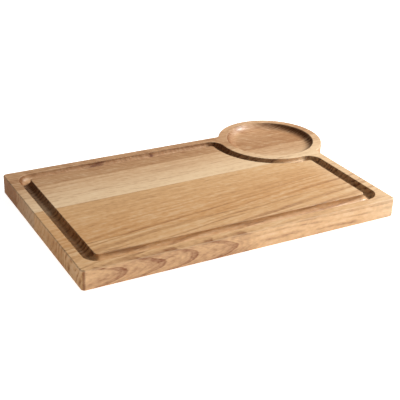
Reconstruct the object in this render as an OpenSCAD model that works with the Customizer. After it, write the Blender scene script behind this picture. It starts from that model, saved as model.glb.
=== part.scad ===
// Chip and dip server: a hardwood board glued up from four staves, with a juice groove
// round its top and a round dip well that stands out past one corner.
//
// Frame: the origin lies under the centre of the whole outline, on the face it rests on.
// +X runs along the grain to the dip well's end, +Y to the back edge and +Z up.
// All lengths are in millimetres.

/* [Board] */
// Length of the rectangular board, along the grain
board_l = 340; // [300:5:420]
// Width of the rectangular board, across the staves
board_w = 220; // [200:2:260]
// Thickness of the wood
board_t = 20; // [16:1:28]
// Radius of the board's three free corners, seen from above
corner_r = 4; // [3:0.5:10]
// Radius of the eased top and bottom edges
edge_r = 1; // [0.5:0.25:2.5]

/* [Dip well] */
// Outer radius of the ring round the dip well
ring_r = 60; // [54:1:64]
// Radius of the dip well at the top face
well_r = 50; // [44:1:50]
// Depth of the dip well
well_depth = 6; // [4:0.5:8]
// Radius of the well's flat floor; a cove joins it to the wall
floor_r = 39; // [36:0.5:42]
// Distance from the well's centre to the board's right and back edges
well_inset = 30; // [26:1:34]
// How far inside the ring's radius the hollow corners beside it leave the board's edges
neck_gap = 5.1; // [3:0.3:6]

/* [Juice groove] */
// Width of the flat rim outside the groove
rim_w = 10; // [8:1:14]
// Width of the round-bottomed groove
groove_w = 12; // [10:1:12]
// Centreline radius of the groove's three corners
turn_r = 10; // [8:1:12]
// How far outside the groove's line round the ring the straight runs end
bend_gap = 9; // [8:0.5:14]
// Radius of the eased lips of the groove and of the well
lip_r = 0.5; // [0.3:0.1:0.8]

/* [Staves] */
// Widths of the first three staves from the front, at mid-length; the fourth takes the rest
stave_w = [47.5, 78, 53.5]; // [40:0.5:78]
// Angle of the glue joints to the front edge, because the board was cut askew from its panel
joint_turn = 1.2; // [0:0.1:2]

/* [Hidden] */

$fn = 96;
// How far every cutter runs past the wood that it cuts
over = 1;

// Places in plan, worked out from the driving dimensions
total_l = board_l - well_inset + ring_r;
total_w = board_w - well_inset + ring_r;
left = -total_l / 2;
right = left + board_l;
right_end = left + total_l;
front = -total_w / 2;
back = front + board_w;
ring_x = right - well_inset;
ring_y = back - well_inset;

// A neck's hollow corner touches a board edge and the ring from outside. Its centre is
// given from the well's centre, for the neck on the back edge.
neck_reach = ring_r - neck_gap;
neck_r = (neck_reach ^ 2 + well_inset ^ 2 - ring_r ^ 2) / (2 * (ring_r - well_inset));
neck_centre = [-neck_reach, well_inset + neck_r];

// The groove's centreline keeps to the rim and passes round the ring
line_inset = rim_w + groove_w / 2;
ring_line_r = ring_r + groove_w / 2;

// The bend from the back run on to the ring touches both centrelines from outside. Its
// centre is given from the well's centre.
line_up = well_inset - line_inset;
bend_reach = ring_line_r + bend_gap;
bend_r = (bend_reach ^ 2 + line_up ^ 2 - ring_line_r ^ 2) / (2 * (ring_line_r + line_up));
bend_centre = [-bend_reach, line_up - bend_r];

// Where each stave begins at mid-length, from the front of the whole outline to its back
joints = [
    front,
    front + stave_w[0],
    front + stave_w[0] + stave_w[1],
    front + stave_w[0] + stave_w[1] + stave_w[2],
    -front,
];
// How far a glue joint has moved from its place at mid-length where it passes either end
joint_rise = (total_l / 2 + over) * tan(joint_turn);

// ---------- outline ----------

// Rectangle with its front-left, front-right and back-left corners rounded
module board_outline() {
    translate([left + corner_r, front]) square([board_l - 2 * corner_r, board_w]);
    translate([left, front + corner_r]) square([corner_r + over, board_w - 2 * corner_r]);
    translate([right - corner_r - over, front + corner_r])
        square([corner_r + over, board_w - 2 * corner_r]);
    for (corner = [[left + corner_r, front + corner_r],
                   [right - corner_r, front + corner_r],
                   [left + corner_r, back - corner_r]])
        translate(corner) circle(r = corner_r);
}

// Wood between the ring and the board's back edge, hollowed by the neck's round corner
module neck_outline() {
    difference() {
        polygon([[0, 0], neck_centre, [-neck_reach, well_inset], [-neck_reach, 0]]);
        translate(neck_centre) circle(r = neck_r);
    }
}

// Everything placed about the well's centre is symmetric across the diagonal through it
module both_sides() {
    children();
    mirror([1, -1, 0]) children();
}

module outline() {
    board_outline();
    translate([ring_x, ring_y]) {
        circle(r = ring_r);
        both_sides() neck_outline();
    }
}

// ---------- sweeps ----------

// Sweeps a section straight along the top face, from a point and on a compass turn. The
// section's u points to the right of the way it runs, and its v points up.
module straight_sweep(from, turn, length) {
    translate([from[0], from[1], board_t]) rotate([90, 0, turn + 90])
        linear_extrude(height = length) mirror([1, 0]) children();
}

// Sweeps a section through a quarter turn about the local origin, with u outward
module quarter_sweep(radius, start) {
    translate([0, 0, board_t]) rotate(start)
        rotate_extrude(angle = 90) translate([radius, 0]) children();
}

// Sweeps a section round a centre, and keeps what lies over an area of the plan
module clipped_sweep(centre, radius, area) {
    intersection() {
        translate([centre[0], centre[1], board_t])
            rotate_extrude() translate([radius, 0]) children();
        linear_extrude(height = board_t + 2 * over) polygon(area);
    }
}

// ---------- eased edges ----------

// What an eased edge takes off: u is outward from the wood, v is up from the top face
module edge_profile() {
    difference() {
        translate([-edge_r, -edge_r]) square(edge_r + over);
        translate([-edge_r, -edge_r]) circle(r = edge_r);
    }
}

// The free side of the ring, between the necks' centres
module ease_ring() {
    far = 3 * ring_r;
    neck_line = 2 * neck_centre;
    clipped_sweep([0, 0], ring_r, [[0, 0], [neck_line[1], neck_line[0]], [far, -far],
                                   [far, far], [-far, far], neck_line]) edge_profile();
}

// The hollow corner on the back edge, which curves the other way
module ease_neck() {
    clipped_sweep(neck_centre, neck_r, [[0, 0], neck_centre, [-neck_reach, 0]])
        mirror([1, 0]) edge_profile();
}

module ease_top() {
    straight_sweep([left + corner_r, front], 0, board_l - 2 * corner_r) edge_profile();
    straight_sweep([right, front + corner_r], 90, ring_y - neck_reach - front - corner_r)
        edge_profile();
    straight_sweep([ring_x - neck_reach, back], 180, ring_x - neck_reach - left - corner_r)
        edge_profile();
    straight_sweep([left, back - corner_r], 270, board_w - 2 * corner_r) edge_profile();
    translate([left + corner_r, front + corner_r]) quarter_sweep(corner_r, 180) edge_profile();
    translate([right - corner_r, front + corner_r]) quarter_sweep(corner_r, 270) edge_profile();
    translate([left + corner_r, back - corner_r]) quarter_sweep(corner_r, 90) edge_profile();
    translate([ring_x, ring_y]) {
        ease_ring();
        both_sides() ease_neck();
    }
}

module ease_bottom() {
    translate([0, 0, board_t]) mirror([0, 0, 1]) ease_top();
}

// ---------- groove ----------

// Cross-section of the groove: a round bottom between two eased lips, with v up
module groove_profile() {
    half_w = groove_w / 2;
    translate([0, -lip_r]) circle(r = half_w);
    difference() {
        translate([-half_w - lip_r, -lip_r]) square([groove_w + 2 * lip_r, lip_r + over]);
        for (side = [-1, 1])
            translate([side * (half_w + lip_r), -lip_r]) circle(r = lip_r);
    }
}

// The groove round the ring's inner side, between the bends' centres
module groove_round_ring() {
    far = 3 * ring_r;
    bend_line = 2 * bend_centre;
    clipped_sweep([0, 0], ring_line_r, [[0, 0], bend_line, [-far, -far],
                                        [bend_line[1], bend_line[0]]]) groove_profile();
}

// The bend that joins the back run to the groove round the ring
module groove_bend() {
    clear = bend_centre[1] + 2 * (bend_r + groove_w);
    clipped_sweep(bend_centre, bend_r, [bend_centre, [-bend_reach, clear], [0, clear], [0, 0]])
        groove_profile();
}

module groove() {
    x0 = left + line_inset;
    x1 = right - line_inset;
    y0 = front + line_inset;
    y1 = back - line_inset;
    straight_sweep([x0 + turn_r, y0], 0, x1 - x0 - 2 * turn_r) groove_profile();
    straight_sweep([x1, y0 + turn_r], 90, ring_y - bend_reach - y0 - turn_r) groove_profile();
    straight_sweep([ring_x - bend_reach, y1], 180, ring_x - bend_reach - x0 - turn_r)
        groove_profile();
    straight_sweep([x0, y1 - turn_r], 270, y1 - y0 - 2 * turn_r) groove_profile();
    translate([x0 + turn_r, y0 + turn_r]) quarter_sweep(turn_r, 180) groove_profile();
    translate([x1 - turn_r, y0 + turn_r]) quarter_sweep(turn_r, 270) groove_profile();
    translate([x0 + turn_r, y1 - turn_r]) quarter_sweep(turn_r, 90) groove_profile();
    translate([ring_x, ring_y]) {
        groove_round_ring();
        both_sides() groove_bend();
    }
}

// ---------- dip well ----------

// Half of the well's section: flat floor, cove and eased lip, with v up from the top face
module well_profile() {
    wall_depth = well_depth - lip_r;
    cove_w = well_r - floor_r;
    cove_r = (cove_w ^ 2 + wall_depth ^ 2) / (2 * wall_depth);
    translate([0, -well_depth]) square([floor_r, well_depth + over]);
    intersection() {
        translate([floor_r, cove_r - well_depth]) circle(r = cove_r);
        translate([floor_r - over, -well_depth]) square([cove_w + over, wall_depth]);
    }
    difference() {
        translate([floor_r - over, -lip_r]) square([cove_w + lip_r + over, lip_r + over]);
        translate([well_r + lip_r, -lip_r]) circle(r = lip_r);
    }
}

module dip_well() {
    translate([ring_x, ring_y, board_t]) rotate_extrude() well_profile();
}

// ---------- staves ----------

// The whole board, before it is told apart into its staves
module machined_panel() {
    difference() {
        linear_extrude(height = board_t) outline();
        ease_top();
        ease_bottom();
        groove();
        dip_well();
    }
}

// A glue joint's two ends, or one side of the outline, clear of it, for the first and the last
function joint_line(place) =
    place == 0 ? [[left - over, front - over], [right_end + over, front - over]]
    : place == len(joints) - 1 ? [[left - over, -front + over], [right_end + over, -front + over]]
    : [[left - over, joints[place] - joint_rise], [right_end + over, joints[place] + joint_rise]];

// The part of the board between two neighbouring glue joints
module stave(place) {
    near = joint_line(place);
    far = joint_line(place + 1);
    intersection() {
        machined_panel();
        translate([0, 0, -over]) linear_extrude(height = board_t + 2 * over)
            polygon([near[0], near[1], far[1], far[0]]);
    }
}

module stave_front() {
    color("#D3A878") stave(0);
}

module stave_centre() {
    color("#CFA26F") stave(1);
}

module stave_back_mid() {
    color("#DDBA90") stave(2);
}

module stave_back() {
    color("#B98B62") stave(3);
}

stave_front();
stave_centre();
stave_back_mid();
stave_back();
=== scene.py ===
"""Chip and dip server: an oiled oak board, glued up from four staves, on a pale floor.

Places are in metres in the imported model's frame: +X along the grain towards the dip well, +Y to
the back edge and +Z up, with the origin on the floor under the middle of the outline. The oak's
shader graphs work in millimetres in the same frame.
"""

from math import cos, radians, sin
from types import SimpleNamespace

import bpy
from mathutils import Matrix, Vector


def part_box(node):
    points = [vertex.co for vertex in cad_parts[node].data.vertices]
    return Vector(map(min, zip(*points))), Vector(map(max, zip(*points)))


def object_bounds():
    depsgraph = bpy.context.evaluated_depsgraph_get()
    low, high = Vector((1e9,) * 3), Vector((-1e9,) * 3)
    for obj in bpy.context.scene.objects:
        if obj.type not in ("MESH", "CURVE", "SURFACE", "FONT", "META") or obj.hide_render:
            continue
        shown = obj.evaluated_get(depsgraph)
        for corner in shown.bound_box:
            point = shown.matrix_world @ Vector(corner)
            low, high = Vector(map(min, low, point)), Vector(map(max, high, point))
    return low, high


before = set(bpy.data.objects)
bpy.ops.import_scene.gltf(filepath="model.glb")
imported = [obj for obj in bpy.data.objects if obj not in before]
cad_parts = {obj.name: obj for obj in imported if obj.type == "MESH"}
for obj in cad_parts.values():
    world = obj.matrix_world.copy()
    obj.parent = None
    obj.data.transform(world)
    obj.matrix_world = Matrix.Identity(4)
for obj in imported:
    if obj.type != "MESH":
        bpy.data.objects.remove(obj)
cad_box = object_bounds()

MM = 0.001

# ---------- camera ----------

CAMERA_PLACE = (-0.4193, -0.7398, 0.4068)
CAMERA_TURN = 29.43  # degrees to the right of +Y
CAMERA_DIP = 25.87  # degrees below the horizon
CAMERA_ROLL = 2.00
CAMERA_LENS = 80.3
SENSOR_WIDTH = 36.0


def make_camera():
    data = bpy.data.cameras.new("camera")
    data.lens = CAMERA_LENS
    data.sensor_width = SENSOR_WIDTH
    camera = bpy.data.objects.new("camera", data)
    aim = (
        Matrix.Rotation(radians(-CAMERA_TURN), 4, "Z")
        @ Matrix.Rotation(radians(90 - CAMERA_DIP), 4, "X")
        @ Matrix.Rotation(radians(CAMERA_ROLL), 4, "Z")
    )
    camera.matrix_world = Matrix.Translation(CAMERA_PLACE) @ aim
    bpy.context.scene.collection.objects.link(camera)
    bpy.context.scene.camera = camera


# ---------- lights and floor ----------

FLOOR_HALF = 20.0
FLOOR_WHITE = (0.9, 0.9, 0.9, 1)
FLOOR_GLOW = 0.96
SKY_STRENGTH = 0.20


def softbox(name, azimuth, elevation, distance, size, watts):
    """A round light at a compass azimuth from +X, in degrees, that faces the board."""
    data = bpy.data.lights.new(name, "AREA")
    data.shape = "DISK"
    data.size = size
    data.energy = watts
    lamp = bpy.data.objects.new(name, data)
    a, e = radians(azimuth), radians(elevation)
    place = distance * Vector((cos(e) * cos(a), cos(e) * sin(a), sin(e)))
    facing = (-place).to_track_quat("-Z", "Y").to_matrix().to_4x4()
    lamp.matrix_world = Matrix.Translation(place) @ facing
    bpy.context.scene.collection.objects.link(lamp)


def make_floor():
    mesh = bpy.data.meshes.new("floor")
    h = FLOOR_HALF
    mesh.from_pydata([(-h, -h, 0), (h, -h, 0), (h, h, 0), (-h, h, 0)], [], [(0, 1, 2, 3)])
    floor = bpy.data.objects.new("floor", mesh)
    material = bpy.data.materials.new("floor")
    material.use_nodes = True
    shader = material.node_tree.nodes["Principled BSDF"]
    shader.inputs["Base Color"].default_value = FLOOR_WHITE
    shader.inputs["Roughness"].default_value = 0.9
    shader.inputs["Emission Color"].default_value = FLOOR_WHITE
    shader.inputs["Emission Strength"].default_value = FLOOR_GLOW
    mesh.materials.append(material)
    bpy.context.scene.collection.objects.link(floor)


def make_lights():
    world = bpy.data.worlds.new("studio")
    world.use_nodes = True
    world.node_tree.nodes["Background"].inputs["Color"].default_value = (1, 1, 1, 1)
    world.node_tree.nodes["Background"].inputs["Strength"].default_value = SKY_STRENGTH
    bpy.context.scene.world = world
    bpy.context.scene.view_settings.view_transform = "Standard"
    softbox("key", 1, 38, 1.60, 0.38, 33.5)
    softbox("fill", -55, 20, 1.5, 0.9, 3.2)


# ---------- oak ----------


class Graph:
    """Short calls that add shader nodes to one material and join them up."""

    def __init__(self, material):
        material.use_nodes = True
        self.tree = material.node_tree
        self.shader = self.tree.nodes["Principled BSDF"]

    def plug(self, socket, value):
        if isinstance(value, bpy.types.NodeSocket):
            self.tree.links.new(value, socket)
        else:
            socket.default_value = value

    def add(self, kind, settings, *values):
        node = self.tree.nodes.new("ShaderNode" + kind)
        for name, value in settings.items():
            setattr(node, name, value)
        for place, value in enumerate(values):
            self.plug(node.inputs[place], value)
        return node

    def math(self, operation, *values):
        return self.add("Math", {"operation": operation}, *values).outputs[0]

    def mad(self, value, factor, offset):
        """value * factor + offset"""
        return self.math("MULTIPLY_ADD", value, factor, offset)

    def vector(self, operation, *values):
        return self.add("VectorMath", {"operation": operation}, *values).outputs[0]

    def split(self, vector):
        return self.add("SeparateXYZ", {}, vector).outputs

    def join(self, x, y, z):
        return self.add("CombineXYZ", {}, x, y, z).outputs[0]

    def noise(self, vector, sizes, seed, detail=2.0, rough=0.5):
        """Noise from 0 to 1, whose features have these sizes along the vector's axes."""
        scale = tuple(1 / size for size in sizes)
        place = self.add("VectorMath", {"operation": "MULTIPLY_ADD"}, vector, scale, (seed,) * 3)
        node = self.add("TexNoise", {"noise_dimensions": "3D"})
        self.plug(node.inputs["Vector"], place.outputs[0])
        node.inputs["Scale"].default_value = 1.0
        node.inputs["Detail"].default_value = detail
        node.inputs["Roughness"].default_value = rough
        return node.outputs["Fac"]

    def step(self, value, low, high, start=0.0, end=1.0):
        """Goes smoothly from start to end as the value goes from low to high."""
        node = self.add("MapRange", {"interpolation_type": "SMOOTHSTEP"}, value, low, high, start, end)
        return node.outputs[0]

    def blend(self, factor, a, b):
        """Mixes colour a with colour b."""
        node = self.add("Mix", {"data_type": "RGBA"})
        sockets = {socket.identifier: socket for socket in node.inputs}
        self.plug(sockets["Factor_Float"], factor)
        self.plug(sockets["A_Color"], a)
        self.plug(sockets["B_Color"], b)
        return node.outputs[2]


def srgb(red, green, blue):
    """A colour given as sRGB from 0 to 255, as linear RGBA."""
    def linear(value):
        value /= 255
        return value / 12.92 if value <= 0.04045 else ((value + 0.055) / 1.055) ** 2.4
    return (linear(red), linear(green), linear(blue), 1.0)


# What the oiled wood darkens towards in its pores, and pales towards between them. The pale colour is
# also the painted sheen towards the board's right end and the painted highlight along the eased top
# edges
DARK_OAK = srgb(134, 76, 32)
PALE_OAK = srgb(250, 226, 188)
# Cross-cut ends, which drink more oil and are darkened further with painted shade, and cross-cut
# walls that the router has scorched, darkened with painted shade where they face away from the key
# light
END_GRAIN_AND_SHADE_OAK = srgb(118, 68, 28)
SCORCHED_AND_SHADED_OAK = srgb(62, 40, 27)
KNOT_OAK = srgb(112, 58, 32)
# What the wood inside the dip well is tinted towards, a darker and more orange tone
WELL_TONE_OAK = srgb(150, 92, 40)

# Lengths are in millimetres. front and back are the tones along the stave's two sides, and pale
# is how much a painted sheen of the key light pales them towards the board's right end. pith is
# where the log's rings are centred, in Y and Z where the stave passes x = 0, and pull is how far
# they go to +Y with x, along the stave's front and its back. ring is the width of a year's growth,
# wander is how far it strays and figure is how plain it shows along the stave's front and its
# back. fleck is how dark the short hatching is, and end is how much darker the cross-cut ends
# are, partly for the oil they drink and partly as painted shade, which grows towards the back
# staves. Each mark is a dark knot or streak: x, y, half its length, half its width, its angle in
# degrees and how dark it is.
STAVES = {
    "stave_front": dict(
        front=(220, 174, 123), back=(211, 163, 110), pale=0.25, pith=(-132, -16),
        pull=(0.18, 0.14), ring=6.2, wander=9, figure=(0.46, 0.58), arches=True, fleck=0.0,
        end=0.28, seed=11.0,
        marks=((-138, -103, 30, 1.4, -2, 0.42), (-118, -107.5, 34, 1.4, -3, 0.38),
               (-146, -99.5, 16, 1.2, 2, 0.35), (-183, -125, 1.8, 4.0, 0, 0.6),
               (114, -99, 20, 1.1, 4, 0.32), (-20, -103, 36, 1.0, -3, 0.28),
               (50, -101, 34, 1.0, 3, 0.26), (70, -109, 40, 1.1, -2, 0.22))),
    "stave_centre": dict(
        front=(206, 154, 99), back=(215, 169, 117), pale=0.35, pith=(-122, -20),
        pull=(0.14, 0.02), ring=6.0, wander=10, figure=(0.58, 0.12), arches=False, fleck=0.0,
        end=0.36, seed=37.0, marks=()),
    "stave_back_mid": dict(
        front=(233, 200, 158), back=(210, 169, 126), pale=0.0, pith=(-60, -45),
        pull=(0.03, 0.02), ring=5.2, wander=8, figure=(0.22, 0.26), arches=False, fleck=0.0,
        end=0.58, seed=41.0, marks=()),
    "stave_back": dict(
        front=(187, 142, 99), back=(208, 164, 122), pale=0.0, pith=(-60, -10),
        pull=(0.02, 0.01), ring=3.4, wander=6, figure=(0.30, 0.30), arches=False, fleck=0.24,
        end=0.72, seed=59.0,
        marks=((-86, 84.2, 14, 1.3, 5, 0.75), (-80, 83.2, 5, 1.6, 20, 0.5),
               (-19, 83.6, 3.6, 2.0, 0, 0.85), (111, 112, 9, 4.0, 12, 0.40))),
}
ORDER = list(STAVES)

# Arches of grain on the front face: where one stands, how high its crown is, how far its feet
# trail behind the crown for each square millimetre of rise, and how far apart they are
ARCH_X = 7.0
ARCH_HEIGHT = 10.0
ARCH_BOW = 0.28
ARCH_SPACING = 37.0

# The ring and its dip well, centred a ring's radius inside the outline's back and right
RING_RADIUS = 60.0
WELL_RADIUS = 50.0
# How far from the board's right end the painted sheen of the key light begins to pale the wood
PAINTED_SHEEN_REACH = 50.0
# How far the router's scorching and the painted shade on the walls keep clear of the board's own cut
# ends
SCORCH_AND_SHADE_CLEAR = 4.0
# How far below the top the worn edges with their painted highlight begin
WORN_LIT_DEPTH = 1.2
# How far the bump of the grain stands out, in metres
GRAIN_DEPTH = 0.0003


def box_mm(stave):
    return [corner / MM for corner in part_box(stave)]


def joint_line(place):
    """Slope of the glue joint in front of a stave, and its y at x = 0."""
    near_high = box_mm(ORDER[place - 1])[1]
    far_low = box_mm(ORDER[place])[0]
    slope = (near_high.y - far_low.y) / (near_high.x - far_low.x)
    return slope, far_low.y - slope * far_low.x


def log_place(g, place, across, look):
    """A place measured from the pith: x along it, then y and z across."""
    x, y, z = g.split(place)
    pith_y, pith_z = look["pith"]
    pull = g.step(across, 0.0, 1.0, *look["pull"])
    return g.join(x, g.math("SUBTRACT", y, g.mad(x, pull, pith_y)), g.math("SUBTRACT", z, pith_z))


def growth(g, log, look):
    """How far each place is into the dark, porous start of its year, from 0 to 1."""
    seed = look["seed"]
    _, off_y, off_z = g.split(log)
    square = g.math("ADD", g.math("MULTIPLY", off_y, off_y), g.math("MULTIPLY", off_z, off_z))
    wander = g.noise(log, (190, 45, 45), seed, 2.0)
    radius = g.mad(wander, look["wander"] * 2, g.math("SQRT", square))
    uneven = g.noise(g.join(radius, 0.0, 0.0), (11, 1, 1), seed, 1.0)
    year = g.math("FRACT", g.mad(uneven, 1.6, g.math("DIVIDE", radius, look["ring"])))
    early = g.math("MULTIPLY", g.step(year, 0.0, 0.14), g.step(year, 0.14, 0.70, 1.0, 0.0))
    strength = g.step(g.noise(log, (120, 8, 8), seed + 3, 1.0), 0.32, 0.66, 0.12, 1.0)
    return g.math("MULTIPLY", early, strength)


def near_branch(g, place):
    """How near each place is to the branch under the front face, from 0 to 1."""
    x, y, _ = g.split(place)
    low = box_mm("stave_front")[0]
    near_face = g.step(y, low.y + 2, low.y + 9, 1.0, 0.0)
    beside = g.math("MULTIPLY", g.step(x, -188, -160), g.step(x, -28, 0, 1.0, 0.0))
    return g.math("MULTIPLY", near_face, beside)


def arches(g, place):
    """Nested arches on the front face, where the log's grain turns about a branch."""
    x, _, z = g.split(place)
    rise = g.math("SUBTRACT", z, ARCH_HEIGHT)
    bowed = g.mad(g.math("MULTIPLY", rise, rise), ARCH_BOW, x)
    ragged = g.noise(place, (34, 12, 8), 3.0, 3.0)
    bowed = g.mad(ragged, 22, g.math("SUBTRACT", bowed, 11 + ARCH_X))
    wide = g.math("FRACT", g.math("DIVIDE", bowed, ARCH_SPACING))
    thin = g.math("FRACT", g.math("DIVIDE", bowed, ARCH_SPACING / 5))
    line = g.math("MULTIPLY", g.step(wide, 0.50, 0.93), g.step(wide, 0.94, 1.0, 1.0, 0.0))
    trace = g.math("MULTIPLY", g.step(thin, 0.2, 0.85), g.step(thin, 0.88, 1.0, 1.0, 0.0))
    return g.math("MULTIPLY", g.mad(trace, 0.28, g.mad(line, 0.9, 0.52)), near_branch(g, place))


def mark(g, place, seed, cx, cy, half_length, half_width, angle, dark):
    """A knot or a streak that goes right through the stave."""
    turn = g.add("VectorRotate", {"rotation_type": "Z_AXIS"})
    g.plug(turn.inputs["Vector"], g.vector("SUBTRACT", place, (cx, cy, 0.0)))
    turn.inputs["Angle"].default_value = radians(-angle)
    along, across, _ = g.split(turn.outputs[0])
    spot = g.join(g.math("DIVIDE", along, half_length), g.math("DIVIDE", across, half_width), 0.0)
    reach = g.add("VectorMath", {"operation": "LENGTH"}, spot).outputs["Value"]
    ragged = g.noise(place, (5, 1.2, 1.2), seed, 2.0)
    return g.step(g.mad(ragged, 1.2, reach), 0.8, 1.7, dark, 0.0)


def survey(g, stave, look):
    """The places, directions and fibres that the rest of a stave's graph works from."""
    seed = look["seed"]
    at = SimpleNamespace()
    at.place = g.vector("MULTIPLY", g.add("TexCoord", {}).outputs["Object"], (1 / MM,) * 3)
    at.x, at.y, at.z = g.split(at.place)
    at.normal_x, _, at.normal_z = g.split(g.add("NewGeometry", {}).outputs["Normal"])
    at.end_grain = g.step(g.math("ABSOLUTE", at.normal_x), 0.10, 0.65)

    # How far each place is from the stave's front joint or edge to its back one
    here = ORDER.index(stave)
    low, high = box_mm(stave)
    at.joints = [joint_line(number) if 0 < number < len(ORDER) else None
                 for number in (here, here + 1)]
    slope = (at.joints[0] or at.joints[1])[0]
    at.turned = g.mad(at.x, -slope, at.y)
    front = at.joints[0][1] if at.joints[0] else low.y
    back = at.joints[1][1] if at.joints[1] else high.y
    at.across = g.math("DIVIDE", g.math("SUBTRACT", at.turned, front), back - front)
    at.log = log_place(g, at.place, at.across, look)

    # Growth rings, fine streaks, specks and pores
    at.early = growth(g, at.log, look)
    at.streak = g.noise(at.log, (26, 3.0, 2.2), seed + 7, 3.0, 0.6)
    slanted = g.join(g.mad(at.y, 0.7, at.x), at.y, at.z)
    at.speck = g.noise(slanted, (5.5, 2.8, 2.8), seed + 11, 2.0)
    dash = g.noise(at.log, (9, 1.3, 1.3), seed + 9, 1.0)
    at.pore = g.math("MULTIPLY", g.step(dash, 0.5, 0.7), g.mad(at.early, 0.6, 0.4))
    return at


def darkness(g, at, look):
    """How much darker than its stave's tone each place is, and below 0 where it is paler."""
    seed = look["seed"]
    figure = g.mad(at.end_grain, 0.3, g.step(at.across, 0.0, 0.6, *look["figure"]))
    dark = g.math("MULTIPLY", g.math("SUBTRACT", at.early, 0.22), figure)
    if look["arches"]:
        calm = g.mad(near_branch(g, at.place), -0.7, 1.0)
        dark = g.mad(arches(g, at.place), 0.50, g.math("MULTIPLY", dark, calm))
    band = g.noise(at.log, (160, 13, 13), seed + 5, 2.0)
    dark = g.mad(g.math("SUBTRACT", band, 0.5), 0.6, dark)
    # The streaks are softer on the upright faces
    streaky = g.step(g.math("ABSOLUTE", at.normal_z), 0.3, 0.8, 0.40, 0.80)
    dark = g.mad(g.math("SUBTRACT", at.streak, 0.5), streaky, dark)
    dark = g.mad(g.math("SUBTRACT", at.speck, 0.5), 0.75, dark)
    dark = g.mad(at.pore, 0.16, dark)
    if look["fleck"]:
        slanted = g.join(g.mad(at.y, 0.9, at.x), at.y, at.z)
        hatch = g.step(g.noise(slanted, (3.2, 16, 9), seed + 13, 1.0), 0.46, 0.62)
        patch = g.step(g.noise(at.place, (60, 30, 30), seed + 15, 1.0), 0.30, 0.45)
        dark = g.mad(g.math("MULTIPLY", hatch, patch), look["fleck"], dark)
    return dark


def tone(g, at, look, dark, outline_high, board_end):
    """The stave's colour across and along it, with its grain, its knots, the darker tone inside the
    well and a painted sheen towards the right end.
    """
    colour = g.blend(g.step(at.across, 0.0, 1.0), srgb(*look["front"]), srgb(*look["back"]))
    if look["pale"]:
        # Painted sheen of the key light: the wood pales towards the board's right end, the end nearest
        # the key
        paler = g.step(at.x, board_end - PAINTED_SHEEN_REACH, board_end, 0.0, look["pale"])
        colour = g.blend(paler, colour, PALE_OAK)
    from_ring = g.join(g.math("SUBTRACT", at.x, outline_high.x - RING_RADIUS),
                       g.math("SUBTRACT", at.y, outline_high.y - RING_RADIUS), 0.0)
    off_ring = g.add("VectorMath", {"operation": "LENGTH"}, from_ring).outputs["Value"]
    # A darker, more orange tone inside the dip well
    oiled = g.step(off_ring, WELL_RADIUS - 2, WELL_RADIUS, 0.21, 0.0)
    colour = g.blend(oiled, colour, WELL_TONE_OAK)
    colour = g.blend(g.math("MAXIMUM", dark, 0.0), colour, DARK_OAK)
    colour = g.blend(g.math("MAXIMUM", g.math("MULTIPLY", dark, -0.9), 0.0), colour, PALE_OAK)
    for number, sizes in enumerate(look["marks"]):
        spot = mark(g, at.place, look["seed"] + 20 + number, *sizes)
        colour = g.blend(spot, colour, KNOT_OAK)
    return colour


def cross_cut_and_shade(g, at, look, colour, outline_low, board_end):
    """Darkens the cut ends, for the oil they drink and with painted shade, and darkens the grooves'
    and the well's walls across the grain with the router's scorching and with painted shade on the
    walls that face away from the key light.
    """
    # Darker cross-cut ends: partly the oil they drink, partly painted shade that grows towards the
    # back staves
    colour = g.blend(g.math("MULTIPLY", at.end_grain, look["end"]), colour, END_GRAIN_AND_SHADE_OAK)
    clear_left = outline_low.x + SCORCH_AND_SHADE_CLEAR
    clear_right = board_end - SCORCH_AND_SHADE_CLEAR
    # Walls facing away from the key light: router scorching and painted shade, reaching down the
    # well's cove towards its floor
    shade_and_scorch_left = g.math("MULTIPLY", g.step(at.normal_x, -0.55, -0.05, 1.0, 0.0),
                       g.step(at.x, clear_left, clear_left + SCORCH_AND_SHADE_CLEAR))
    from_right = g.math("MULTIPLY", g.step(at.normal_x, 0.3, 0.85),
                        g.step(at.x, clear_right - SCORCH_AND_SHADE_CLEAR, clear_right, 1.0, 0.0))
    stripe = g.mad(at.early, 0.3, g.mad(at.streak, 0.7, -0.08))
    scorch_and_shade = g.math("MULTIPLY", g.math("MAXIMUM", shade_and_scorch_left, from_right), stripe)
    return g.blend(scorch_and_shade, colour, SCORCHED_AND_SHADED_OAK)


def wear_and_highlight(g, at, top):
    """Where the eased top edges are worn smooth and pale by hands and carry a painted highlight, from
    0 to 1.
    """
    near_top = g.step(at.z, top - WORN_LIT_DEPTH, top - WORN_LIT_DEPTH / 2)
    # Eased edges near the top: worn pale by hands, and partly a painted highlight where the bevel
    # catches the light
    worn_and_lit = g.math("MULTIPLY", near_top, g.step(at.normal_z, 0.80, 0.97, 1.0, 0.0))
    return g.math("MULTIPLY", worn_and_lit, g.mad(at.speck, 1.2, 0.1))


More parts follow.
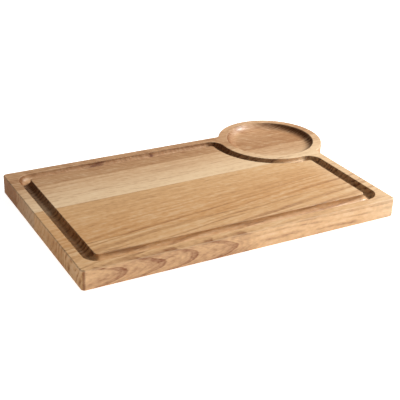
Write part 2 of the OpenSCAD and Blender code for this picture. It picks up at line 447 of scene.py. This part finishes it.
def finish_surface(g, at, colour, worn_and_lit):
    """Joins the colour, the gloss and the bump of the grain to the shader."""
    g.plug(g.shader.inputs["Base Color"], colour)
    rough = g.mad(at.end_grain, 0.4, g.mad(at.pore, 0.2, g.mad(at.streak, 0.16, 0.36)))
    g.plug(g.shader.inputs["Roughness"], g.mad(worn_and_lit, -0.1, rough))
    g.plug(g.shader.inputs["Specular IOR Level"], g.mad(at.end_grain, -0.22, 0.36))
    g.plug(g.shader.inputs["Coat Weight"], g.mad(at.end_grain, -0.12, 0.14))
    g.shader.inputs["Coat Roughness"].default_value = 0.24
    height = g.mad(at.pore, -1.0, g.mad(at.streak, 0.6, g.math("MULTIPLY", at.early, -0.4)))
    bump = g.add("Bump", {})
    bump.inputs["Strength"].default_value = 0.6
    bump.inputs["Distance"].default_value = GRAIN_DEPTH
    g.plug(bump.inputs["Height"], height)
    g.plug(g.shader.inputs["Normal"], bump.outputs["Normal"])
    g.plug(g.shader.inputs["Coat Normal"], bump.outputs["Normal"])


def oak(stave, look):
    """The oiled oak of one stave."""
    material = bpy.data.materials.new("oak_" + stave)
    g = Graph(material)
    outline_low, outline_high = [corner / MM for corner in cad_box]
    board_end = box_mm("stave_front")[1].x
    at = survey(g, stave, look)
    dark = darkness(g, at, look)
    colour = tone(g, at, look, dark, outline_high, board_end)
    colour = cross_cut_and_shade(g, at, look, colour, outline_low, board_end)
    worn_and_lit = wear_and_highlight(g, at, outline_high.z)
    # Pales the eased top edges: worn by hands, and partly a painted highlight along their lit bevels
    colour = g.blend(g.math("MULTIPLY", worn_and_lit, 0.22), colour, PALE_OAK)
    for joint in at.joints:
        if joint:
            gap = g.math("ABSOLUTE", g.math("SUBTRACT", at.turned, joint[1]))
            colour = g.blend(g.step(gap, 0.08, 0.35, 0.45, 0.0), colour, DARK_OAK)
    finish_surface(g, at, colour, worn_and_lit)
    return material


make_camera()
make_floor()
make_lights()
for stave, look in STAVES.items():
    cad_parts[stave].material_slots[0].material = oak(stave, look)
